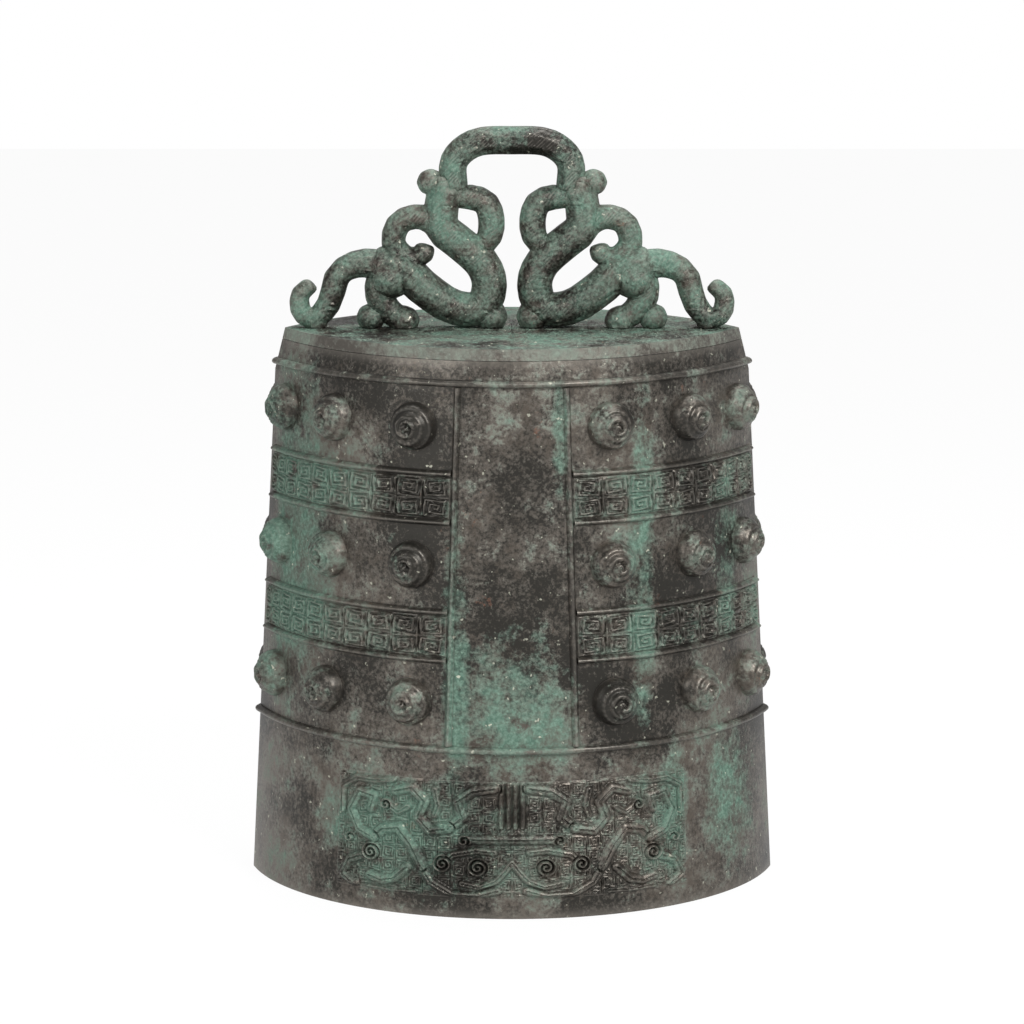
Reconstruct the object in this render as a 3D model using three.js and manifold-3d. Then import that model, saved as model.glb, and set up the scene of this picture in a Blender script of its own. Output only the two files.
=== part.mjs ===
// Bronze ritual bell with a level rim and a double-dragon loop.
// Millimetres, +Z up, the front face looks along -Y, the rim stands on z = 0.
import * as THREE from 'three';
import { mergeVertices } from 'three/addons/utils/BufferGeometryUtils.js';
import Module from 'manifold-3d';

const wasm = await Module();
wasm.setup();

// Driving sizes of the bell body
const bellHeight = 352;
const topWidth = 288;
const shoulderWidth = 301;
const mouthWidth = 336;
const topDepth = 220;
const shoulderDepth = 226;
const mouthDepth = 256;
const shoulderDrop = 26;
const wallThickness = 7;
const plateThickness = 7;
const seam = 0.3;

// How sharp the side edges are: a low value is a pointed oval, 1 an ellipse
const topSharpness = 0.85;
const mouthSharpness = 0.97;

// Driving sizes of the relief
const ribWidth = 4.4;
const ribHeight = 3.2;
const ringRibHeight = 3.6;
const waistHeight = 105;
const shoulderRibHeight = 331;
const bandGap = 30;
const stripWidthTop = 62;
const stripWidthBottom = 74;
const fieldEdgeAngle = 80;
const bandThickness = 1.6;
const bossDiameter = 30;
const bossHeight = 17;
const bossAngles = [23.3, 46.5, 69.8];
const drumBottom = 13;
const drumTop = 86;
const drumHalfAngle = 41;
const drumThickness = 2.2;

// Driving sizes of the loop
const loopHeight = 128;
const archOuterWidth = 92;
const archBand = 19;
const archDepth = 22;
const archLeg = 31;
const archShoulderDrop = 13;
const archCrownDrop = 2;
const dragonDepthShare = 1.15;
const tailInset = 7;
const neckGap = 10;

// Fineness of the curved faces
const wallSides = 48;
const bossSides = 9;
const tubeSides = 8;

const bronze = new THREE.MeshStandardMaterial({ color: 0x5b5a4e, roughness: 0.6, metalness: 0.6 });
const darkBronze = new THREE.MeshStandardMaterial({ color: 0x47473f, roughness: 0.62, metalness: 0.6 });
const greenBronze = new THREE.MeshStandardMaterial({ color: 0x4d6a58, roughness: 0.75, metalness: 0.35 });

const bell = new THREE.Group();

// Profile of the body: widths at a height, straight between mouth, shoulder and top
function between(z, atMouth, atShoulder, atTop) {
  const shoulder = bellHeight - shoulderDrop;
  if (z < shoulder) return THREE.MathUtils.lerp(atMouth, atShoulder, z / shoulder);
  return THREE.MathUtils.lerp(atShoulder, atTop, (z - shoulder) / shoulderDrop);
}

function sectionPoint(angle, z, shrink) {
  const halfWidth = between(z, mouthWidth, shoulderWidth, topWidth) / 2 - shrink;
  const halfDepth = between(z, mouthDepth, shoulderDepth, topDepth) / 2 - shrink;
  const k = THREE.MathUtils.lerp(mouthSharpness, topSharpness, z / bellHeight);
  const along = Math.cos(angle);
  const rest = Math.sqrt(1 - k * k);
  const bulge = (Math.sqrt(1 - k * k * along * along) - rest) / (1 - rest);
  const side = Math.sin(angle) < 0 ? -1 : 1;
  return new THREE.Vector3(halfWidth * along, side * halfDepth * bulge, z);
}

function outward(angle, z) {
  const step = 0.01;
  const tangent = sectionPoint(angle + step, z, 0).sub(sectionPoint(angle - step, z, 0));
  return new THREE.Vector3(tangent.y, -tangent.x, 0).normalize();
}

function surfacePoint(angle, z, proud) {
  return sectionPoint(angle, z, 0).addScaledVector(outward(angle, z), proud);
}

// A face angle runs from the middle of a face, 0, to its side edge, 90 degrees
function wallAngle(face, degreesFromMiddle) {
  return face * (Math.PI / 2) - face * THREE.MathUtils.degToRad(degreesFromMiddle);
}

// Closed solid from rings of points. A looped solid joins its last ring to its first.
function solidFromRings(rings, looped) {
  const count = rings[0].length;
  const points = rings.flat();
  const triangles = [];
  const ringPairs = looped ? rings.length : rings.length - 1;
  for (let ring = 0; ring < ringPairs; ring++) {
    const next = (ring + 1) % rings.length;
    for (let i = 0; i < count; i++) {
      const j = (i + 1) % count;
      const a = ring * count + i;
      const b = ring * count + j;
      const c = next * count + j;
      const d = next * count + i;
      triangles.push(a, b, c, a, c, d);
    }
  }
  if (!looped) {
    const capCentre = (ring) => ring.reduce((sum, p) => sum.add(p), new THREE.Vector3()).divideScalar(count);
    const first = points.push(capCentre(rings[0])) - 1;
    const last = points.push(capCentre(rings[rings.length - 1])) - 1;
    const lastRing = (rings.length - 1) * count;
    for (let i = 0; i < count; i++) {
      const j = (i + 1) % count;
      triangles.push(first, j, i);
      triangles.push(last, lastRing + i, lastRing + j);
    }
  }
  return solidFromTriangles(points, triangles);
}

function signedVolume(points, triangles) {
  let total = 0;
  for (let i = 0; i < triangles.length; i += 3) {
    const [a, b, c] = [points[triangles[i]], points[triangles[i + 1]], points[triangles[i + 2]]];
    total += a.dot(b.clone().cross(c));
  }
  return total;
}

function solidFromTriangles(points, triangles) {
  const facingOut = signedVolume(points, triangles) > 0;
  const triVerts = new Uint32Array(facingOut ? triangles : triangles.slice().reverse());
  const vertProperties = new Float32Array(points.flatMap((p) => [p.x, p.y, p.z]));
  return new wasm.Manifold(new wasm.Mesh({ numProp: 3, vertProperties, triVerts }));
}

function solidFromGeometry(geometry) {
  geometry.deleteAttribute('normal');
  geometry.deleteAttribute('uv');
  const merged = mergeVertices(geometry, 0.001);
  const position = merged.getAttribute('position');
  const points = [];
  for (let i = 0; i < position.count; i++) points.push(new THREE.Vector3().fromBufferAttribute(position, i));
  return solidFromTriangles(points, Array.from(merged.index.array));
}

function addPiece(name, solid, material) {
  const made = solid.getMesh();
  const geometry = new THREE.BufferGeometry();
  geometry.setAttribute('position', new THREE.BufferAttribute(made.vertProperties.slice(), 3));
  geometry.setIndex(new THREE.BufferAttribute(made.triVerts.slice(), 1));
  const mesh = new THREE.Mesh(geometry, material);
  mesh.name = name;
  bell.add(mesh);
}

// Body: the wall is an open shell, and the top plate closes it
function wallRing(z, proud, shrink) {
  const ring = [];
  for (let i = 0; i < wallSides; i++) {
    const angle = (i / wallSides) * Math.PI * 2;
    ring.push(shrink ? sectionPoint(angle, z, shrink) : surfacePoint(angle, z, proud));
  }
  return ring;
}

const wallTop = bellHeight - plateThickness - seam;
const wallLevels = [0, waistHeight, (waistHeight + bellHeight) / 2, bellHeight - shoulderDrop, wallTop];

function makeWall() {
  const outer = wallLevels.map((z) => wallRing(z, 0, 0));
  const inner = wallLevels.map((z) => wallRing(z, 0, wallThickness)).reverse();
  return solidFromRings([...outer, ...inner], true);
}

function makeTopPlate() {
  const rings = [wallTop + seam, bellHeight].map((z) => wallRing(z, 0, 0));
  return solidFromRings(rings, false);
}

// What the relief is cut by, so that it sits a seam away from the wall all over
const seatLevels = [-seam, ...wallLevels.slice(1), bellHeight + seam];
const wallSeat = solidFromRings(seatLevels.map((z) => wallRing(Math.max(z, 0), seam, 0).map((p) => p.setZ(z))), false);
const seatDepth = 3;

// A strip of raised metal between two angles and two heights of one face
function raisedPatch(face, fromDegrees, toDegrees, bottomAt, topAt, proud, steps) {
  const rings = [];
  for (let i = 0; i <= steps; i++) {
    const degrees = THREE.MathUtils.lerp(fromDegrees, toDegrees, i / steps);
    const angle = wallAngle(face, degrees);
    const low = bottomAt(degrees);
    const high = topAt(degrees);
    rings.push([
      surfacePoint(angle, low, -seatDepth), surfacePoint(angle, low, proud),
      surfacePoint(angle, high, proud), surfacePoint(angle, high, -seatDepth),
    ]);
  }
  return solidFromRings(rings, false);
}

function makeRingRib(z) {
  const half = ribWidth / 2;
  const rings = [];
  for (let i = 0; i < wallSides; i++) {
    const angle = (i / wallSides) * Math.PI * 2;
    rings.push([
      surfacePoint(angle, z - half, -seatDepth), surfacePoint(angle, z - half, ringRibHeight * 0.7),
      surfacePoint(angle, z, ringRibHeight),
      surfacePoint(angle, z + half, ringRibHeight * 0.7), surfacePoint(angle, z + half, -seatDepth),
    ]);
  }
  return solidFromRings(rings, true).subtract(wallSeat);
}

// Three equal rows of bosses and two bands share the height between the waist and shoulder ribs
const bossRowHeight = (shoulderRibHeight - waistHeight - 2 * bandGap) / 3;
const rowPitch = bossRowHeight + bandGap;
const fieldRibHeights = [0, 1].flatMap((row) => {
  const low = waistHeight + bossRowHeight + row * rowPitch;
  return [low, low + bandGap];
});
const bossRows = [0, 1, 2].map((row) => waistHeight + bossRowHeight / 2 + row * rowPitch);
const fieldBottom = waistHeight + ribWidth / 2 + seam;
const fieldTop = shoulderRibHeight - ribWidth / 2 - seam;

// The stile beside the centre strip leans, because the strip widens downwards
function stileDegrees(z) {
  const share = (z - fieldBottom) / (fieldTop - fieldBottom);
  const halfStrip = THREE.MathUtils.lerp(stripWidthBottom, stripWidthTop, share) / 2;
  const halfWidth = between(z, mouthWidth, shoulderWidth, topWidth) / 2;
  return THREE.MathUtils.radToDeg(Math.asin(halfStrip / halfWidth));
}

const stileSpan = THREE.MathUtils.radToDeg(ribWidth / (shoulderWidth / 2));

function leaningStile(face, side) {
  const rings = [];
  const steps = 6;
  for (let i = 0; i <= steps; i++) {
    const z = THREE.MathUtils.lerp(fieldBottom, fieldTop, i / steps);
    const inner = wallAngle(face, side * stileDegrees(z));
    const outer = wallAngle(face, side * (stileDegrees(z) + stileSpan));
    rings.push([
      surfacePoint(inner, z, -seatDepth), surfacePoint(inner, z, ribHeight),
      surfacePoint(outer, z, ribHeight), surfacePoint(outer, z, -seatDepth),
    ]);
  }
  return solidFromRings(rings, false);
}

function makeFieldFrame(face, side) {
  let frame = leaningStile(face, side);
  for (const z of fieldRibHeights) {
    const from = side * (stileDegrees(z) + stileSpan / 2);
    const bottom = () => z - ribWidth / 2;
    const top = () => z + ribWidth / 2;
    frame = frame.add(raisedPatch(face, from, side * fieldEdgeAngle, bottom, top, ribHeight, 10));
  }
  return frame.subtract(wallSeat);
}

function makeBand(face, side, row) {
  const low = fieldRibHeights[row * 2] + ribWidth / 2 + seam;
  const high = fieldRibHeights[row * 2 + 1] - ribWidth / 2 - seam;
  const clear = THREE.MathUtils.radToDeg(seam * 2 / (shoulderWidth / 2));
  const from = side * (Math.max(stileDegrees(low), stileDegrees(high)) + stileSpan + clear);
  const patch = raisedPatch(face, from, side * fieldEdgeAngle, () => low, () => high, bandThickness, 10);
  return patch.subtract(wallSeat);
}

function makeDrumPanel(face) {
  const patch = raisedPatch(face, -drumHalfAngle, drumHalfAngle, () => drumBottom, () => drumTop, drumThickness, 14);
  return patch.subtract(wallSeat);
}

// A boss is a low dome with a coil round it and a knob on top
function makeBoss(face, degrees, z) {
  const radius = bossDiameter / 2;
  const profile = [
    [0, -seatDepth], [radius, -seatDepth], [radius, bossHeight * 0.16], [radius * 0.86, bossHeight * 0.5],
    [radius * 0.56, bossHeight * 0.78], [radius * 0.3, bossHeight * 0.95], [0, bossHeight],
  ].map(([x, y]) => new THREE.Vector2(x, y));
  const geometry = new THREE.LatheGeometry(profile, bossSides);
  const angle = wallAngle(face, degrees);
  const turn = new THREE.Quaternion().setFromUnitVectors(new THREE.Vector3(0, 1, 0), outward(angle, z));
  geometry.applyQuaternion(turn);
  const seat = surfacePoint(angle, z, 0);
  geometry.translate(seat.x, seat.y, seat.z);
  return solidFromGeometry(geometry).subtract(wallSeat);
}

// A round bar along points in the plane of the loop, thicker or thinner along its way
function bar(points, radii, depthShare, closedSteps) {
  const path = new THREE.CatmullRomCurve3(points.map(([x, z]) => new THREE.Vector3(x, 0, z)), false, 'centripetal');
  const rings = [];
  for (let i = 0; i <= closedSteps; i++) {
    const t = i / closedSteps;
    const centre = path.getPoint(t);
    const tangent = path.getTangent(t);
    const across = new THREE.Vector3(-tangent.z, 0, tangent.x);
    const place = t * (radii.length - 1);
    const low = Math.min(Math.floor(place), radii.length - 2);
    const radius = THREE.MathUtils.lerp(radii[low], radii[low + 1], place - low);
    const ring = [];
    for (let s = 0; s < tubeSides; s++) {
      const turn = ((s + 0.5) / tubeSides) * Math.PI * 2;
      const point = centre.clone().addScaledVector(across, radius * Math.cos(turn));
      ring.push(point.setY(radius * depthShare * Math.sin(turn)));
    }
    rings.push(ring);
  }
  return solidFromRings(rings, false);
}

function knob(x, z, radius, depthShare) {
  const geometry = new THREE.SphereGeometry(radius, tubeSides, 5);
  geometry.scale(1, depthShare, 1);
  geometry.translate(x, 0, z);
  return solidFromGeometry(geometry);
}

// The arch that the dragons hold in their jaws
const archHalf = (archOuterWidth - archBand) / 2;
const archTopLine = bellHeight + loopHeight - archBand / 2;
const archFoot = archTopLine - archLeg;
const archPoints = [
  [-archHalf, archFoot], [-archHalf, archTopLine - archShoulderDrop], [-archHalf * 0.66, archTopLine - archCrownDrop], [0, archTopLine],
  [archHalf * 0.66, archTopLine - archCrownDrop], [archHalf, archTopLine - archShoulderDrop], [archHalf, archFoot],
];

function makeArch(extra) {
  const radius = archBand / 2 + extra;
  return bar(archPoints, [radius, radius], (archDepth / 2 + extra) / radius, 24);
}

// The dragon stands between the neck gap and the tail, and its points are shares of that reach
const reach = topWidth / 2 - tailInset;
const near = neckGap / 2;

function dragonPoint([out, up]) {
  return [near + out * (reach - near), bellHeight + up * loopHeight];
}

function dragonBar(points, radii, steps) {
  return bar(points.map(dragonPoint), radii, dragonDepthShare, steps);
}

function dragonKnob([out, up], radius) {
  const [x, z] = dragonPoint([out, up]);
  return knob(x, z, radius, dragonDepthShare);
}

function makeDragon() {
  const body = [
    [0.6, 0.31], [0.5, 0.3], [0.39, 0.2], [0.24, 0.1], [0.11, 0.1], [0.07, 0.21],
    [0.1, 0.31], [0.2, 0.41], [0.3, 0.5], [0.3, 0.59], [0.29, 0.66],
  ];
  const tail = [
    [0.57, 0.3], [0.68, 0.32], [0.79, 0.27], [0.84, 0.12], [0.91, 0.045], [0.97, 0.07], [0.98, 0.16], [0.93, 0.21],
  ];
  const crest = [[0.29, 0.65], [0.19, 0.65], [0.09, 0.62], [0.06, 0.53], [0.08, 0.43], [0.15, 0.4]];
  const curl = [[0.3, 0.5], [0.4, 0.55], [0.5, 0.52], [0.53, 0.42], [0.47, 0.35], [0.39, 0.36], [0.38, 0.4]];
  const hindLeg = [[0.57, 0.28], [0.6, 0.17], [0.55, 0.08], [0.47, 0.03]];
  const snout = [[0.3, 0.6], [0.27, 0.7], [0.25, 0.76]];
  const pieces = [
    dragonBar(body, [10.5, 10, 9.5, 9.5, 9.5, 9], 26),
    dragonBar(tail, [9, 6.5, 5.5, 4.5, 3.6], 16),
    dragonBar(crest, [6, 6.5, 6.5, 5], 12),
    dragonBar(curl, [7, 6, 5.5, 4.2], 14),
    dragonBar(hindLeg, [9, 7.5, 6.5, 6], 8),
    dragonBar(snout, [9, 9.5, 8], 5),
    dragonKnob([0.55, 0.24], 12),
    dragonKnob([0.06, 0.055], 8.5),
    dragonKnob([0.48, 0.035], 8),
    dragonKnob([0.64, 0.05], 7.5),
    dragonKnob([0.35, 0.72], 7),
    dragonKnob([0.9, 0.02], 5),
  ];
  const whole = pieces.reduce((sum, piece) => sum.add(piece));
  const plateBlock = new THREE.BoxGeometry(topWidth, topDepth, bellHeight);
  plateBlock.translate(0, 0, bellHeight / 2 + seam);
  return whole.subtract(solidFromGeometry(plateBlock)).subtract(makeArch(seam));
}

addPiece('bell_wall', makeWall(), darkBronze);
addPiece('top_plate', makeTopPlate(), greenBronze);
addPiece('shoulder_rib', makeRingRib(shoulderRibHeight), bronze);
addPiece('waist_rib', makeRingRib(waistHeight), bronze);

const faces = { front: -1, back: 1 };
const sides = { right: 1, left: -1 };

for (const [faceName, face] of Object.entries(faces)) {
  addPiece(`${faceName}_drum_panel`, makeDrumPanel(face), bronze);
  for (const [sideName, side] of Object.entries(sides)) {
    addPiece(`${faceName}_${sideName}_field_frame`, makeFieldFrame(face, side), bronze);
    for (const [row, rowName] of ['lower', 'upper'].entries()) {
      addPiece(`${faceName}_${sideName}_${rowName}_band`, makeBand(face, side, row), greenBronze);
    }
    for (const [row, z] of bossRows.entries()) {
      for (const [column, degrees] of bossAngles.entries()) {
        const name = `${faceName}_${sideName}_boss_${row + 1}_${column + 1}`;
        addPiece(name, makeBoss(face, side * degrees, z), bronze);
      }
    }
  }
}

const dragonRight = makeDragon();
addPiece('dragon_right', dragonRight, greenBronze);
addPiece('dragon_left', dragonRight.mirror([1, 0, 0]), greenBronze);
addPiece('suspension_arch', makeArch(0), greenBronze);

export default bell;
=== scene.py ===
# %% [markdown]
# A bronze ritual bell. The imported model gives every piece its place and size. This script gives
# each piece its cast relief, its smooth curves and its patina, and never moves or resizes it.

# %% The frame and the box it fills
import math

import bmesh
import bpy
import numpy as np
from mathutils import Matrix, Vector


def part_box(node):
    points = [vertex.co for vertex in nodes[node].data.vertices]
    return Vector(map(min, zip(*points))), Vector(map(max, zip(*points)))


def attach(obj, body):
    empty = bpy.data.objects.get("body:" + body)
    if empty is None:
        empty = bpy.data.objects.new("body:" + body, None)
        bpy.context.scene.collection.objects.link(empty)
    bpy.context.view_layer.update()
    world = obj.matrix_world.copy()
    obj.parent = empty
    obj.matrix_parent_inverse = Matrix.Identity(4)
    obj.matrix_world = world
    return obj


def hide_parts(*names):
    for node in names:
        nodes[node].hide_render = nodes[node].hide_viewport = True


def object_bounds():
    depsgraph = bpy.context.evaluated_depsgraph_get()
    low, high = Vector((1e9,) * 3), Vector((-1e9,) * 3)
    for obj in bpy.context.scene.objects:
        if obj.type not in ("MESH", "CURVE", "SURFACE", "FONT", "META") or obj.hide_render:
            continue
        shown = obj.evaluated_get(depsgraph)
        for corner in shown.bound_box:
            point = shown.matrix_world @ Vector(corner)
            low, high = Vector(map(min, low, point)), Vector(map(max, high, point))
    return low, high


bpy.context.scene.view_settings.view_transform = "Standard"
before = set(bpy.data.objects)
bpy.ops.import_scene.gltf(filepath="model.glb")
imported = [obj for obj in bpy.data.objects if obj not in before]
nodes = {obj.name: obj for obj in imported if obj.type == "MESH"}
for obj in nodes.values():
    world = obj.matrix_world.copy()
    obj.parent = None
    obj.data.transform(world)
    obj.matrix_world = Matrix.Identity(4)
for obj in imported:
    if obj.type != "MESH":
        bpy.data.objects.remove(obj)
cad_low, cad_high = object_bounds()
print("nodes", len(nodes), "box", [round(v, 4) for v in (*cad_low, *cad_high)])

# %% [markdown]
# The camera comes first. The photograph looks slightly down at the bell from far away, so the
# lens is long. It aims near half the bell's height, on its axis.

# %% Camera
IMAGE_PIXELS = 1024
PIXELS_PER_METRE = 1562.5
CAMERA_DISTANCE = 2.46
CAMERA_HEIGHT = 0.653
AIM = Vector((0, 0, 0.233))
SENSOR_MM = 36.0

camera_data = bpy.data.cameras.new("camera")
camera_data.sensor_width = SENSOR_MM
camera_data.lens = PIXELS_PER_METRE * CAMERA_DISTANCE / IMAGE_PIXELS * SENSOR_MM
camera = bpy.data.objects.new("camera", camera_data)
bpy.context.scene.collection.objects.link(camera)
level_distance = math.sqrt(CAMERA_DISTANCE ** 2 - (CAMERA_HEIGHT - AIM.z) ** 2)
camera.location = Vector((0, -level_distance, CAMERA_HEIGHT))
camera.rotation_euler = (AIM - camera.location).to_track_quat("-Z", "Y").to_euler()
bpy.context.scene.camera = camera
print("lens", round(camera_data.lens, 1))

# %% [markdown]
# The body is a pointed oval that flares from the top to the mouth. One formula gives any point
# of its outside, so the wall, the ribs and the relief all follow the same surface. Half sizes
# are the half width and the half depth. A roundness of 1 is an ellipse, and less is more pointed.

# %% The body's surface
plate_low, plate_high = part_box("top_plate")
wall_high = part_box("bell_wall")[1]
BODY_HEIGHT = plate_high.z
SHOULDER_DROP = 0.026
SHOULDER = BODY_HEIGHT - SHOULDER_DROP
TOP_HALF = (0.144, 0.110)
SHOULDER_HALF = (0.1505, 0.113)
MOUTH_HALF = (wall_high.x, wall_high.y)
TOP_ROUNDNESS = 0.85
MOUTH_ROUNDNESS = 0.97
WALL = 0.007
SEAM = 0.0003
BACKING = 0.0002
TANGENT_STEP = 0.01


def half_size(z, axis):
    flare = (SHOULDER_HALF[axis] - MOUTH_HALF[axis]) * z / SHOULDER
    neck = (TOP_HALF[axis] - SHOULDER_HALF[axis]) * (z - SHOULDER) / (BODY_HEIGHT - SHOULDER)
    return np.where(z < SHOULDER, MOUTH_HALF[axis] + flare, SHOULDER_HALF[axis] + neck)


def section(angle, z, shrink=0.0):
    """The outside's x and y, or of a like section that is smaller all round by shrink"""
    k = MOUTH_ROUNDNESS + (TOP_ROUNDNESS - MOUTH_ROUNDNESS) * z / BODY_HEIGHT
    along = np.cos(angle)
    rest = np.sqrt(1 - k * k)
    bulge = (np.sqrt(1 - k * k * along ** 2) - rest) / (1 - rest)
    side = np.where(np.sin(angle) < 0, -1.0, 1.0)
    return (half_size(z, 0) - shrink) * along, side * (half_size(z, 1) - shrink) * bulge


def surface(angle, z, proud):
    """Points that stand proud of the outside by a distance, along its level normal"""
    angle, z, proud = np.broadcast_arrays(angle, z, proud)
    x, y = section(angle, z)
    ahead = section(angle + TANGENT_STEP, z)
    behind = section(angle - TANGENT_STEP, z)
    tangent_x = ahead[0] - behind[0]
    tangent_y = ahead[1] - behind[1]
    length = np.hypot(tangent_x, tangent_y)
    return np.stack([x + proud * tangent_y / length, y - proud * tangent_x / length, z], axis=-1)


def wall_angle(face, degrees):
    """The angle round the body of a place on a face, counted from the face's middle"""
    return face * (np.pi / 2 - np.radians(degrees))


# %% [markdown]
# Relief that follows a curved wall is easiest as a fine grid of points, each lifted by the height
# of the pattern there. That is why these pieces are built from arrays and not from a primitive.
# A patch has a front grid and a back grid, and a strip of faces round its edge closes it.

# %% Meshes from grids
SMOOTH_ANGLE = math.radians(50)
MERGE_DISTANCE = 1e-6
faces_made = {}


def finish_mesh(piece):
    """Merges doubles, turns the faces outwards and shades smooth up to sharp edges"""
    shape = bmesh.new()
    shape.from_mesh(piece.data)
    bmesh.ops.remove_doubles(shape, verts=shape.verts, dist=MERGE_DISTANCE)
    bmesh.ops.recalc_face_normals(shape, faces=shape.faces)
    shape.to_mesh(piece.data)
    shape.free()
    bpy.ops.object.select_all(action="DESELECT")
    piece.select_set(True)
    bpy.context.view_layer.objects.active = piece
    bpy.ops.object.shade_smooth_by_angle(angle=SMOOTH_ANGLE)
    piece.select_set(False)


def stand_for(piece, node):
    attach(piece, "root")
    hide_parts(node)
    faces_made[piece.name] = len(piece.data.polygons)


def cast_piece(node, points, faces, material):
    name = node + "_cast"
    mesh = bpy.data.meshes.new(name)
    mesh.from_pydata(points.reshape(-1, 3).tolist(), [], faces)
    mesh.materials.append(material)
    piece = bpy.data.objects.new(name, mesh)
    bpy.context.scene.collection.objects.link(piece)
    finish_mesh(piece)
    stand_for(piece, node)


def grid_faces(rows, columns, wrap_columns, wrap_rows=False):
    faces = []
    for row in range(rows if wrap_rows else rows - 1):
        here = row * columns
        below = ((row + 1) % rows) * columns
        for column in range(columns if wrap_columns else columns - 1):
            right = (column + 1) % columns
            faces.append((here + column, here + right, below + right, below + column))
    return faces


def closed_patch(front, back, first=0):
    """Points and faces of a front and a back grid, joined all round their edge"""
    rows, columns = front.shape[:2]
    behind = rows * columns
    faces = grid_faces(rows, columns, False)
    faces += [tuple(behind + i for i in reversed(face)) for face in faces]
    edge = list(range(columns))
    edge += [row * columns + columns - 1 for row in range(1, rows)]
    edge += [(rows - 1) * columns + column for column in range(columns - 2, -1, -1)]
    edge += [row * columns for row in range(rows - 2, 0, -1)]
    for here, there in zip(edge, edge[1:] + edge[:1]):
        faces.append((here, behind + here, behind + there, there))
    points = np.concatenate([front.reshape(-1, 3), back.reshape(-1, 3)])
    return points, [tuple(first + i for i in face) for face in faces]


def unit_grid(columns, rows):
    return np.meshgrid(np.linspace(0, 1, columns), np.linspace(0, 1, rows))


# %% [markdown]
# Old bronze is brown-grey metal under patches of green, with pale and rust-red specks. Each
# finish mixes those by noise, and by soft patches placed where the photograph has them. The
# small class below lets a socket be used in an expression, which adds the Math nodes.

# %% Shader helpers
class Sock:
    def __init__(self, tree, socket):
        self.tree = tree
        self.socket = socket

    def node(self, kind, settings=None, **values):
        """Any node: settings are set first, and i0, i1 and so on name an input by its number"""
        made = self.tree.nodes.new(kind)
        for key, value in (settings or {}).items():
            setattr(made, key, value)
        for key, value in values.items():
            numbered = key[0] == "i" and key[1:].isdigit()
            target = made.inputs[int(key[1:]) if numbered else key]
            if isinstance(value, Sock):
                self.tree.links.new(value.socket, target)
            else:
                target.default_value = value
        return made

    def math(self, operation, a, b, clamp=False):
        settings = {"operation": operation, "use_clamp": clamp}
        return Sock(self.tree, self.node("ShaderNodeMath", settings, i0=a, i1=b).outputs[0])

    def __add__(self, other):
        return self.math("ADD", self, other)

    def __radd__(self, other):
        return self.math("ADD", other, self)

    def __sub__(self, other):
        return self.math("SUBTRACT", self, other)

    def __rsub__(self, other):
        return self.math("SUBTRACT", other, self)

    def __mul__(self, other):
        return self.math("MULTIPLY", self, other)

    def __rmul__(self, other):
        return self.math("MULTIPLY", other, self)

    def clamp(self):
        return self.math("ADD", self, 0.0, clamp=True)

    def step(self, low, high):
        """0 below low, 1 above high and straight between"""
        return ((self - low) * (1 / (high - low))).clamp()

    def noise(self, scale, detail, rough=0.6):
        made = self.node("ShaderNodeTexNoise", None, Vector=self, Scale=scale, Detail=detail, Roughness=rough)
        return Sock(self.tree, made.outputs["Fac"])

    def mix(self, a, b):
        """Colours a and b mixed by this mask"""
        made = self.node("ShaderNodeMix", {"data_type": "RGBA"}, i0=self, i6=a, i7=b)
        return Sock(self.tree, made.outputs[2])

    def blob(self, x, z, wide, tall):
        """A soft patch on the front face, round the point x, z"""
        parts = self.node("ShaderNodeSeparateXYZ", None, Vector=self)
        along = (Sock(self.tree, parts.outputs[0]) - x) * (1 / wide)
        up = (Sock(self.tree, parts.outputs[2]) - z) * (1 / tall)
        front = (Sock(self.tree, parts.outputs[1]) * -FRONT_FADE).clamp()
        return (1.0 - (along * along + up * up)).clamp() * front


# %% [markdown]
# A green patch is its middle, x and z, and its half width and half height, in metres. Down the
# left edge, in a run right of the strip and in a broad crust low on the strip it is strongest.

# %% Patina
FRONT_FADE = 40.0
GREEN_PATCHES = [
    (-0.150, 0.235, 0.045, 0.135), (0.080, 0.205, 0.010, 0.150), (0.0, 0.135, 0.050, 0.060),
    (0.138, 0.062, 0.020, 0.050), (0.100, 0.060, 0.012, 0.050), (-0.035, 0.160, 0.010, 0.120),
    (0.029, 0.300, 0.006, 0.045), (-0.060, 0.045, 0.070, 0.045), (0.135, 0.215, 0.010, 0.060),
]
PATCH_WEIGHT = 0.13
BROWN = (0.100, 0.085, 0.070, 1)
GREY = (0.200, 0.182, 0.158, 1)
DARK = (0.030, 0.028, 0.024, 1)
GREEN = (0.050, 0.105, 0.076, 1)
PALE_GREEN = (0.135, 0.215, 0.165, 1)
PALE = (0.42, 0.42, 0.34, 1)
RUST = (0.20, 0.075, 0.040, 1)
CLOUD_SCALE = 14.0
BLOTCH_SCALE = 75.0
GRAIN_SCALE = 420.0
RUST_SCALE = 48.0
SPECK_SCALE = 260.0
METAL_SHINE = 0.75
CRUST_DULLS = 0.65
METAL_ROUGHNESS = 0.34
CRUST_ROUGHENS = 0.38
GRAIN_ROUGHENS = 0.1
BUMP_STRENGTH = 0.7


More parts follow.
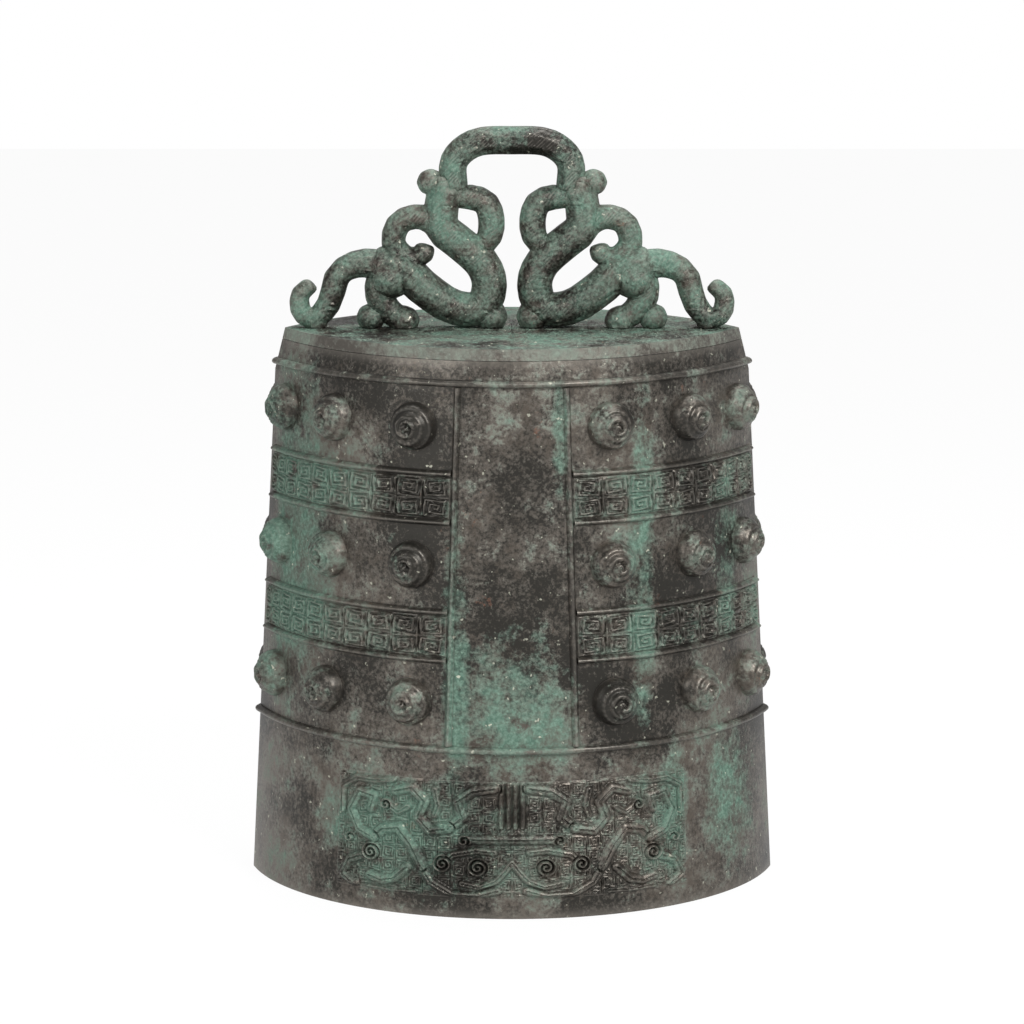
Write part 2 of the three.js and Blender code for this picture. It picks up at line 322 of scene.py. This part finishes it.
def patina(name, greenness, patches, relief_depth):
    """Greenness shifts how much of the piece is green, and patches adds the placed ones"""
    material = bpy.data.materials.new(name)
    material.use_nodes = True
    tree = material.node_tree
    shader = tree.nodes["Principled BSDF"]
    place = Sock(tree, tree.nodes.new("ShaderNodeTexCoord").outputs["Object"])
    cloud = place.noise(CLOUD_SCALE, 4.0)
    blotch = place.noise(BLOTCH_SCALE, 8.0, 0.7)
    grain = place.noise(GRAIN_SCALE, 5.0, 0.7)

    mask = cloud * 0.45 + blotch * 0.55 + greenness
    if patches:
        for patch in GREEN_PATCHES:
            mask = mask + place.blob(*patch) * PATCH_WEIGHT
    green = (mask + (grain - 0.5) * 0.22).step(0.50, 0.66)

    metal = blotch.step(0.38, 0.62).mix(BROWN, GREY)
    metal = (cloud * 0.6 + grain * 0.4).step(0.56, 0.44).mix(metal, DARK)
    crust = grain.step(0.42, 0.66).mix(GREEN, PALE_GREEN)
    crust = blotch.step(0.42, 0.34).mix(crust, DARK)
    colour = green.mix(metal, crust)
    rust = place.noise(RUST_SCALE, 8.0, 0.75).step(0.64, 0.70) * grain.step(0.4, 0.6)
    colour = (rust * 0.8).mix(colour, RUST)
    specks = place.noise(SPECK_SCALE, 2.0, 0.5).step(0.70, 0.74)
    colour = (specks * 0.8).mix(colour, PALE)

    # By the mesh's pointiness, the colour turns lighter grey on sharp outward edges and near black in inward
    # creases.
    edge = Sock(tree, tree.nodes.new("ShaderNodeNewGeometry").outputs["Pointiness"])
    colour = (edge.step(0.51, 0.58) * 0.45).mix(colour, GREY)
    colour = (edge.step(0.49, 0.43) * 0.6).mix(colour, DARK)
    tree.links.new(colour.socket, shader.inputs["Base Color"])

    metallic = METAL_SHINE - green * CRUST_DULLS
    tree.links.new(metallic.socket, shader.inputs["Metallic"])
    roughness = METAL_ROUGHNESS + green * CRUST_ROUGHENS + grain * GRAIN_ROUGHENS
    tree.links.new(roughness.socket, shader.inputs["Roughness"])
    height = blotch * 0.5 + grain * 0.35 + green * 0.5
    bump = place.node("ShaderNodeBump", None, Strength=BUMP_STRENGTH, Distance=relief_depth, Height=height)
    tree.links.new(bump.outputs["Normal"], shader.inputs["Normal"])
    return material


WALL_BRONZE = patina("wall_bronze_finish", -0.03, True, 0.0006)
RELIEF_BRONZE = patina("relief_bronze_finish", 0.0, True, 0.0005)
GREEN_BRONZE = patina("green_bronze_finish", 0.07, False, 0.0006)
BAND_BRONZE = patina("band_bronze_finish", 0.03, True, 0.0005)
print("finishes", len(bpy.data.materials))

# %% [markdown]
# The wall is an open shell: an outer grid, an inner grid and a level rim between them. The
# shoulder is one of the levels, so that its crease stays crisp.

# %% Wall
WALL_SIDES = 320
WALL_LEVELS = 70
around = np.linspace(0, 2 * np.pi, WALL_SIDES, endpoint=False)[None, :]
wall_top = plate_low.z - SEAM
levels = np.unique(np.append(np.linspace(0, wall_top, WALL_LEVELS), SHOULDER))[:, None]
outer = surface(around, levels, 0.0)
inner_x, inner_y = section(around, levels, WALL)
inner = np.stack([inner_x, inner_y, levels + 0 * around], axis=-1)[::-1]
wall_points = np.concatenate([outer, inner])
wall_faces = grid_faces(len(wall_points), WALL_SIDES, True, wrap_rows=True)
cast_piece("bell_wall", wall_points, wall_faces, WALL_BRONZE)
print("wall faces", faces_made["bell_wall_cast"])

# %% [markdown]
# The flat top and the bands carry fine square spirals, a very old ornament. Each cell of the
# pattern is a wave that winds out from its middle, flattened so that it has ridges and grooves.
# The spirals of neighbouring cells wind opposite ways.

# %% Square spirals
SPIRAL_TURNS = 5.0
SPIRAL_CRISPNESS = 1.2


def meander(u, v):
    """From 0 in the grooves to 1 on the ridges, in cells one unit wide"""
    cell_x = (u % 1.0) - 0.5
    cell_y = (v % 1.0) - 0.5
    reach = np.maximum(np.abs(cell_x), np.abs(cell_y))
    turn = np.arctan2(cell_y, cell_x) / (2 * np.pi)
    handed = np.where((np.floor(u) + np.floor(v)) % 2 == 0, 1.0, -1.0)
    wave = np.cos(2 * np.pi * (reach * SPIRAL_TURNS + turn * handed))
    return np.clip(0.5 + wave * SPIRAL_CRISPNESS, 0, 1)


print("height over a cell, on average", round(float(meander(*unit_grid(200, 200)).mean()), 2))

# %% [markdown]
# The top plate closes the body. Its rings of points run from the edge to the middle, where they
# meet in one point. The spirals fade out before the edge, which stays level.

# %% Top plate
PLATE_RINGS = 120
PLATE_CELL = 0.010
PLATE_GROOVE = 0.0008
PLATE_EDGE_FADE = 40
share = np.linspace(0, 1, PLATE_RINGS)[:, None]
rim_x, rim_y = section(around, np.full_like(around, BODY_HEIGHT))
top_x = rim_x * (1 - share)
top_y = rim_y * (1 - share)
carved = np.clip(share * PLATE_EDGE_FADE - 1, 0, 1)
groove = (1 - meander(top_x / PLATE_CELL, top_y / PLATE_CELL)) * carved * PLATE_GROOVE
top = np.stack([top_x, top_y, BODY_HEIGHT - groove], axis=-1)
under_x, under_y = section(around, np.full_like(around, plate_low.z))
under = np.stack([under_x, under_y, np.full_like(under_x, plate_low.z)], axis=-1)
under_middle = under * np.array([0.0, 0.0, 1.0])
plate_points = np.concatenate([under_middle, under, top])
plate_faces = grid_faces(len(plate_points), WALL_SIDES, True)
cast_piece("top_plate", plate_points, plate_faces, GREEN_BRONZE)
print("plate faces", faces_made["top_plate_cast"])

# %% [markdown]
# The ribs were rolled strips of wax, so they are half-round and a little uneven.

# %% Ring ribs
RIB_HALF = 0.0022
RIB_POINTS = 9
RING_RIB_PROUD = 0.0031
RING_RIB_UNEVEN = 0.06


def ring_rib(node):
    low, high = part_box(node)
    middle_z = (low.z + high.z) / 2
    across = np.linspace(0, np.pi, RIB_POINTS)[:, None]
    uneven = 1 + RING_RIB_UNEVEN * np.sin(around * 23) * np.sin(around * 7 + 1)
    z = middle_z - RIB_HALF * np.cos(across) + 0 * around
    proud = SEAM + RING_RIB_PROUD * np.sin(across) * uneven
    points = np.concatenate([surface(around, z, proud), surface(around, z[::-1], BACKING)])
    faces = grid_faces(len(points), WALL_SIDES, True, wrap_rows=True)
    cast_piece(node, points, faces, RELIEF_BRONZE)
    return middle_z


shoulder_z = ring_rib("shoulder_rib")
waist_z = ring_rib("waist_rib")
print("ribs at", round(waist_z, 4), round(shoulder_z, 4))

# %% [markdown]
# Each quarter of the upper body has a frame: a leaning stile beside the plain centre strip, and
# a rib above and below each band. The strip widens downwards, so the stile leans. Both faces
# carry the same relief: the back isn't in the photograph, and such bells repeat the front. A
# quarter is its name, its face (-1 is the front) and its side (-1 is the left, at low x).

# %% Field frames
QUARTERS = [
    ("front_right", -1, 1),
    ("front_left", -1, -1),
    ("back_right", 1, 1),
    ("back_left", 1, -1),
]
BAND_Z = {"lower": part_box("front_left_lower_band"), "upper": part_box("front_left_upper_band")}
STRIP_HALF_TOP = 0.031
STRIP_HALF_BOTTOM = 0.037
STILE = 0.0044
STILE_ROWS = 80
RIB_COLUMNS = 100
EDGE_DEGREES = 80.0
FRAME_PROUD = 0.0028
RIB_TO_BAND = 0.0025
FIELD_LOW = waist_z + RIB_HALF + SEAM
FIELD_HIGH = shoulder_z - RIB_HALF - SEAM


def between(start, end, share):
    return start + (end - start) * share


def stile_degrees(z, extra=0.0):
    """Where the stile's inner edge is at a height, and extra metres on from it"""
    part = (z - FIELD_LOW) / (FIELD_HIGH - FIELD_LOW)
    half = between(STRIP_HALF_BOTTOM, STRIP_HALF_TOP, part)
    return np.degrees(np.arcsin(half / half_size(z, 0))) + np.degrees(extra / SHOULDER_HALF[0])


def frame_bars():
    """The height, degrees and bow of each bar's points: the stile, then the four ribs"""
    u, v = unit_grid(RIB_POINTS, STILE_ROWS)
    z = between(FIELD_LOW, FIELD_HIGH, v)
    yield z, between(stile_degrees(z), stile_degrees(z, STILE), u), np.sin(np.pi * u)
    u, v = unit_grid(RIB_COLUMNS, RIB_POINTS)
    for low, high in BAND_Z.values():
        for middle_z in (low.z - RIB_TO_BAND, high.z + RIB_TO_BAND):
            z = between(middle_z - RIB_HALF, middle_z + RIB_HALF, v)
            yield z, between(stile_degrees(z, STILE), EDGE_DEGREES, u), np.sin(np.pi * v)


def field_frame(node, face, side):
    points = []
    faces = []
    count = 0
    for z, degrees, bow in frame_bars():
        angle = wall_angle(face, side * degrees)
        front = surface(angle, z, SEAM + FRAME_PROUD * bow)
        bar_points, bar_faces = closed_patch(front, surface(angle, z, BACKING), count)
        points.append(bar_points)
        faces += bar_faces
        count += len(bar_points)
    cast_piece(node, np.concatenate(points), faces, RELIEF_BRONZE)


for quarter, face, side in QUARTERS:
    field_frame(f"{quarter}_field_frame", face, side)
print("field frame faces", faces_made["front_left_field_frame_cast"])

# %% [markdown]
# Between the rows of bosses lie bands of tight interlace: rows of square spirals with looping
# cords between them, cut off level.

# %% Interlace bands
BAND_RELIEF = 0.0019
BAND_GRID = (260, 56)
BAND_CELLS = (10, 2)
BAND_INSET = 0.0006
SPIRAL_SHARE = 0.65


def relief_patch(node, angle, z, lift, material):
    """A carved block on the wall: lift is how far each point of its front stands off"""
    points, faces = closed_patch(surface(angle, z, lift), surface(angle, z, BACKING))
    cast_piece(node, points, faces, material)


def band_lift(u, v):
    border = np.minimum(np.minimum(u, 1 - u) * 60, np.minimum(v, 1 - v) * 14)
    spirals = meander(u * BAND_CELLS[0], v * BAND_CELLS[1])
    cords = np.clip(0.5 + 1.1 * np.sin(u * 20 * np.pi) * np.cos(v * 4 * np.pi), 0, 1)
    pattern = np.clip(SPIRAL_SHARE * spirals + (1 - SPIRAL_SHARE) * cords, 0, 1)
    return SEAM + BAND_RELIEF * np.clip(border, 0, 1) * pattern


u, v = unit_grid(*BAND_GRID)
for quarter, face, side in QUARTERS:
    for band_name, (low, high) in BAND_Z.items():
        z = between(low.z, high.z, v)
        degrees = between(stile_degrees(z, STILE + BAND_INSET), EDGE_DEGREES, u)
        node = f"{quarter}_{band_name}_band"
        relief_patch(node, wall_angle(face, side * degrees), z, band_lift(u, v), BAND_BRONZE)
print("band faces", faces_made["front_left_lower_band_cast"])

# %% [markdown]
# The big relief low on each face is a beast mask between dragons. Each raised line is a stroke:
# the height at a point comes from its distance to the stroke. One half is drawn, in millimetres
# from the middle of the face and from the rim, and mirrored. A stroke is its points and its half
# width, and a round is a coil's middle, x and z, and its radius.

# %% Mask strokes
MASK_STROKES = [
    ([(2, 86), (2, 58)], 1.6),
    ([(6, 86), (6, 58)], 1.6),
    ([(0, 50), (22, 50), (27, 49)], 3.2),
    ([(10, 42), (20, 43), (33, 40), (37, 36)], 2.4),
    ([(0, 36), (4, 30), (9, 24), (18, 20), (28, 22)], 2.2),
    ([(8, 18), (20, 14), (34, 15), (46, 22), (52, 32)], 2.6),
    ([(10, 82), (22, 80), (31, 73), (28, 63), (36, 56)], 3.4),
    ([(36, 56), (47, 54), (54, 62), (50, 72), (58, 80), (68, 77)], 3.2),
    ([(44, 80), (42, 70), (44, 64)], 2.2),
    ([(52, 32), (58, 44), (66, 54), (76, 52), (82, 46)], 3.4),
    ([(82, 46), (92, 50), (98, 62), (92, 74), (82, 72), (84, 64)], 3.0),
    ([(70, 84), (82, 82), (94, 82), (104, 76), (104, 60)], 2.2),
    ([(60, 30), (68, 22), (76, 20), (84, 22)], 3.0),
    ([(88, 34), (98, 30), (103, 20), (94, 15)], 2.8),
    ([(56, 14), (70, 13), (84, 14)], 2.0),
    ([(60, 68), (66, 64), (72, 68)], 2.2),
]
MASK_ROUNDS = [
    (19, 32.5, 6.6),
    (39, 34, 6.0),
    (27, 49, 4.2),
    (83, 37, 6.4),
    (74, 68, 4.2),
    (98, 44, 3.6),
]
print("strokes", len(MASK_STROKES), "rounds", len(MASK_ROUNDS))

# %% [markdown]
# A fine ground of spirals fills what the strokes leave. A stroke is a round ridge with a crease
# along its top and a groove on each side, so that it stands clear of the ground.

# %% Mask relief
DRUM_LOW = 0.013
DRUM_HIGH = 0.086
DRUM_DEGREES = 41.0
DRUM_GRID = (480, 160)
DRUM_HALF_MM = 108
DRUM_LOW_MM = 13
DRUM_TALL_MM = 73
MASK_RELIEF = 0.0034
GROUND_RELIEF = 0.22
GROUND_CELL_MM = 8.5
RIDGE_RELIEF = 0.85
CREASE_RELIEF = 0.25
CREASE_HALF_MM = 0.45
GROOVE_AWAY_MM = 0.7
GROOVE_HALF_MM = 0.9
COIL_PITCH_MM = 2.6
COIL_EDGE_MM = 0.8


def distance_to(points, x, z):
    """How far each place is from a line through the points"""
    nearest = np.full(x.shape, 1e3)
    for (ax, az), (bx, bz) in zip(points[:-1], points[1:]):
        dx = bx - ax
        dz = bz - az
        t = np.clip(((x - ax) * dx + (z - az) * dz) / (dx * dx + dz * dz), 0, 1)
        nearest = np.minimum(nearest, np.hypot(x - ax - t * dx, z - az - t * dz))
    return nearest


def mask_lift(u, v):
    x = np.abs(u - 0.5) * 2 * DRUM_HALF_MM
    z = DRUM_LOW_MM + v * DRUM_TALL_MM
    height = GROUND_RELIEF * meander(x / GROUND_CELL_MM, z / GROUND_CELL_MM)
    for points, half_width in MASK_STROKES:
        away = distance_to(points, x, z)
        ridge = np.sqrt(np.clip(1 - (away / half_width) ** 2, 0, 1))
        crease = CREASE_RELIEF * (away < CREASE_HALF_MM)
        groove = np.clip(1 - np.abs(away - half_width - GROOVE_AWAY_MM) / GROOVE_HALF_MM, 0, 1)
        height = np.maximum(height * (1 - groove), ridge * (RIDGE_RELIEF - crease))
    for middle_x, middle_z, radius in MASK_ROUNDS:
        away = np.hypot(x - middle_x, z - middle_z)
        turn = np.arctan2(z - middle_z, x - middle_x) / (2 * np.pi)
        coil = 0.55 + 0.45 * np.cos(2 * np.pi * (away / COIL_PITCH_MM - turn))
        inside = np.clip((radius - away) / COIL_EDGE_MM, 0, 1)
        height = height * (1 - inside) + coil * inside
    border = np.minimum(np.minimum(u, 1 - u) * 90, np.minimum(v, 1 - v) * 30)
    return SEAM + MASK_RELIEF * height * np.clip(border, 0, 1)


u, v = unit_grid(*DRUM_GRID)
drum_z = between(DRUM_LOW, DRUM_HIGH, v)
drum_degrees = between(-DRUM_DEGREES, DRUM_DEGREES, u)
for face_name, face in (("front", -1), ("back", 1)):
    node = f"{face_name}_drum_panel"
    angle = wall_angle(face, drum_degrees)
    relief_patch(node, angle, drum_z, mask_lift(u, v), RELIEF_BRONZE)
print("drum panel faces", faces_made["front_drum_panel_cast"])

# %% [markdown]
# Each boss is a coiled serpent: a dome with scaly coils round it, a comma-shaped head and a
# knob. The coils run the other way on the other half of a face. A boss is a fan of rings round
# its middle, and its lowest ring goes a little way into the curved wall.

# %% Bosses
BOSS_SPOKES = 72
BOSS_RINGS = 30
BOSS_RADIUS = 0.015
BOSS_HEIGHT = 0.0135
BOSS_SINK = 0.001125
BOSS_ANGLES = (23.3, 46.5, 69.8)
BOSS_ROWS = (1, 2, 3)
COIL_TURNS = 3.2
SCALES_ROUND = 22
SERPENT = [(-0.42, 0.10), (-0.2, 0.34), (0.12, 0.36), (0.36, 0.14), (0.30, -0.18), (0.06, -0.30)]


def boss_profile(spoke, ring, side):
    """The height of a boss as a share, for a direction round it and a share of its radius"""
    dome = np.sqrt(np.clip(1 - ring ** 2.4, 0, 1)) * 0.86
    coil = np.cos(2 * np.pi * (ring * COIL_TURNS - side * spoke / (2 * np.pi)))
    scales = np.cos(spoke * SCALES_ROUND) * np.clip(coil, 0, 1) * np.clip((ring - 0.5) * 4, 0, 1)
    x = ring * np.cos(spoke) * side
    y = ring * np.sin(spoke)
    body = np.sqrt(np.clip(1 - (distance_to(SERPENT, x, y) / 0.15) ** 2, 0, 1)) * 0.10
    eye = np.clip(1 - np.hypot(x + 0.02, y - 0.28) / 0.09, 0, 1) * 0.06
    knob = np.clip(1 - np.hypot(x + 0.02, y + 0.02) / 0.15, 0, 1) ** 0.5 * 0.12
    edge = np.clip((1 - ring) * 8, 0, 1)
    return dome + edge * (0.045 * coil + 0.02 * scales + body + eye + knob)


def boss(node, face, side, degrees):
    low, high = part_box(node)
    angle = np.array(wall_angle(face, side * degrees))
    z = np.array((low.z + high.z) / 2)
    base = surface(angle, z, 0.0)
    outward = surface(angle, z, 1.0) - base
    tangent = np.array([-outward[1], outward[0], 0.0])
    upward = np.array([0.0, 0.0, 1.0])
    spoke = np.linspace(0, 2 * np.pi, BOSS_SPOKES, endpoint=False)[None, :]
    ring = np.linspace(1, 0, BOSS_RINGS)[:, None]
    across = (ring * BOSS_RADIUS * np.cos(spoke))[..., None] * tangent
    along = (ring * BOSS_RADIUS * np.sin(spoke))[..., None] * upward
    height = np.clip(boss_profile(spoke, ring, side), 0, 1) * BOSS_HEIGHT
    top = base + across + along + height[..., None] * outward
    skirt = top[:1] - outward * BOSS_SINK
    bottom_middle = np.broadcast_to(base - outward * BOSS_SINK, skirt.shape)
    points = np.concatenate([bottom_middle, skirt, top])
    cast_piece(node, points, grid_faces(len(points), BOSS_SPOKES, True), RELIEF_BRONZE)


for quarter, face, side in QUARTERS:
    for row in BOSS_ROWS:
        for column, degrees in enumerate(BOSS_ANGLES, start=1):
            boss(f"{quarter}_boss_{row}_{column}", face, side, degrees)
print("relief pieces", len(faces_made), "faces", sum(faces_made.values()))

# %% [markdown]
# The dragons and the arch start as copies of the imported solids. A voxel remesh and a smoothing
# melt their parts together as wax does. Then the dragons are made a little fuller, and scrolls
# are cut a little way into the sides of all three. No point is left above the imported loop, down
# in the top plate or past its ends.

# %% Loop
VOXEL = 0.0012
SMOOTH_STEPS = 5
SCROLL_DEPTH = 0.0007
SCROLL_CELL = 0.011
SCROLL_WAVE = 260
SCROLL_SWAY = 0.3
FULLER = {"dragon_left": 0.0024, "dragon_right": 0.0024, "suspension_arch": 0.0}
FULLER_SHARES = np.array([1.0, 1.0, 0.8])


def plain_copy(node):
    piece = nodes[node].copy()
    piece.data = nodes[node].data.copy()
    piece.name = node + "_cast"
    for key in list(piece.keys()):
        del piece[key]
    piece.parent = None
    bpy.context.scene.collection.objects.link(piece)
    finish_mesh(piece)
    piece.data.materials.clear()
    piece.data.materials.append(GREEN_BRONZE)
    return piece


def melt(piece):
    bpy.context.view_layer.objects.active = piece
    remesh = piece.modifiers.new("melt", "REMESH")
    remesh.mode = "VOXEL"
    remesh.voxel_size = VOXEL
    smooth = piece.modifiers.new("smooth", "SMOOTH")
    smooth.factor = 0.5
    smooth.iterations = SMOOTH_STEPS
    for name in ("melt", "smooth"):
        bpy.ops.object.modifier_apply(modifier=name)


def engrave(piece, fuller):
    vertices = piece.data.vertices
    normals = np.empty(len(vertices) * 3)
    places = np.empty(len(vertices) * 3)
    vertices.foreach_get("normal", normals)
    vertices.foreach_get("co", places)
    normals = normals.reshape(-1, 3)
    places = places.reshape(-1, 3)
    x = np.abs(places[:, 0])
    z = places[:, 2]
    across = x / SCROLL_CELL + SCROLL_SWAY * np.sin(z * SCROLL_WAVE)
    up = z / SCROLL_CELL + SCROLL_SWAY * np.sin(x * SCROLL_WAVE)
    facing = np.clip(np.abs(normals[:, 1]) * 2 - 0.5, 0, 1)
    cut = (1 - meander(across, up)) * facing * SCROLL_DEPTH
    places += normals * (fuller * FULLER_SHARES - cut[:, None])
    places[:, 2] = np.clip(places[:, 2], BODY_HEIGHT, cad_high.z)
    places[:, 0] = np.clip(places[:, 0], -TOP_HALF[0], TOP_HALF[0])
    vertices.foreach_set("co", places.reshape(-1))
    piece.data.update()


for node, fuller in FULLER.items():
    piece = plain_copy(node)
    melt(piece)
    engrave(piece, fuller)
    finish_mesh(piece)
    stand_for(piece, node)
    print(piece.name, faces_made[piece.name])

# %% [markdown]
# The studio is a white floor with broad soft lamps. The camera sees the floor nearly white, and
# only a little of the lamps' light shows on it, so the bell's shadow stays faint as in the
# photograph. The floor isn't part of the bell.

# %% Floor
FLOOR_SIZE = 12
FLOOR_WHITE = (0.85, 0.85, 0.85, 1)
FLOOR_GLOW = 0.94

bpy.ops.object.select_all(action="DESELECT")
bpy.ops.mesh.primitive_plane_add(size=FLOOR_SIZE)
floor = bpy.context.object
floor.name = "floor"
floor_material = bpy.data.materials.new("floor_white")
floor_material.use_nodes = True
floor_tree = floor_material.node_tree
floor_shader = floor_tree.nodes["Principled BSDF"]
floor_shader.inputs["Base Color"].default_value = FLOOR_WHITE
floor_shader.inputs["Roughness"].default_value = 0.9
floor.data.materials.append(floor_material)
rays = floor_tree.nodes.new("ShaderNodeLightPath")
camera_ray = Sock(floor_tree, rays.outputs["Is Camera Ray"])
glossy_ray = Sock(floor_tree, rays.outputs["Is Glossy Ray"])
seen = camera_ray.math("MAXIMUM", camera_ray, glossy_ray)
white = floor_tree.nodes.new("ShaderNodeEmission")
blend = floor_tree.nodes.new("ShaderNodeMixShader")
floor_tree.links.new((seen * FLOOR_GLOW).socket, blend.inputs[0])
floor_tree.links.new(floor_shader.outputs[0], blend.inputs[1])
floor_tree.links.new(white.outputs[0], blend.inputs[2])
floor_tree.links.new(blend.outputs[0], floor_tree.nodes["Material Output"].inputs["Surface"])
print("floor", FLOOR_SIZE, "m wide")

# %% [markdown]
# The world is white to the camera and dimmer as a light. The key lamp stands at the front right,
# the fill at the front left, and the top lamp behind and above.

# %% World and lamps
WORLD_LIGHT = 0.45
LAMPS_AIM = Vector((0, 0, 0.25))
LAMPS = [
    ("key", (0.9, -1.4, 1.5), 0.9, 44),
    ("fill", (-1.3, -1.3, 0.9), 1.1, 14),
    ("top", (0.1, 0.5, 1.9), 1.2, 26),
]

world = bpy.data.worlds.new("studio")
bpy.context.scene.world = world
world.use_nodes = True
world_tree = world.node_tree
background = world_tree.nodes["Background"]
world_rays = world_tree.nodes.new("ShaderNodeLightPath")
world_seen = Sock(world_tree, world_rays.outputs["Is Camera Ray"])
world_strength = world_seen * (1 - WORLD_LIGHT) + WORLD_LIGHT
world_tree.links.new(world_strength.socket, background.inputs["Strength"])
background.inputs["Color"].default_value = (1, 1, 1, 1)

for name, place, size, power in LAMPS:
    lamp = bpy.data.lights.new(name, "AREA")
    lamp.shape = "DISK"
    lamp.size = size
    lamp.energy = power
    light = bpy.data.objects.new(name, lamp)
    bpy.context.scene.collection.objects.link(light)
    light.location = place
    light.rotation_euler = (LAMPS_AIM - Vector(place)).to_track_quat("-Z", "Y").to_euler()
print("lamps", len(LAMPS))
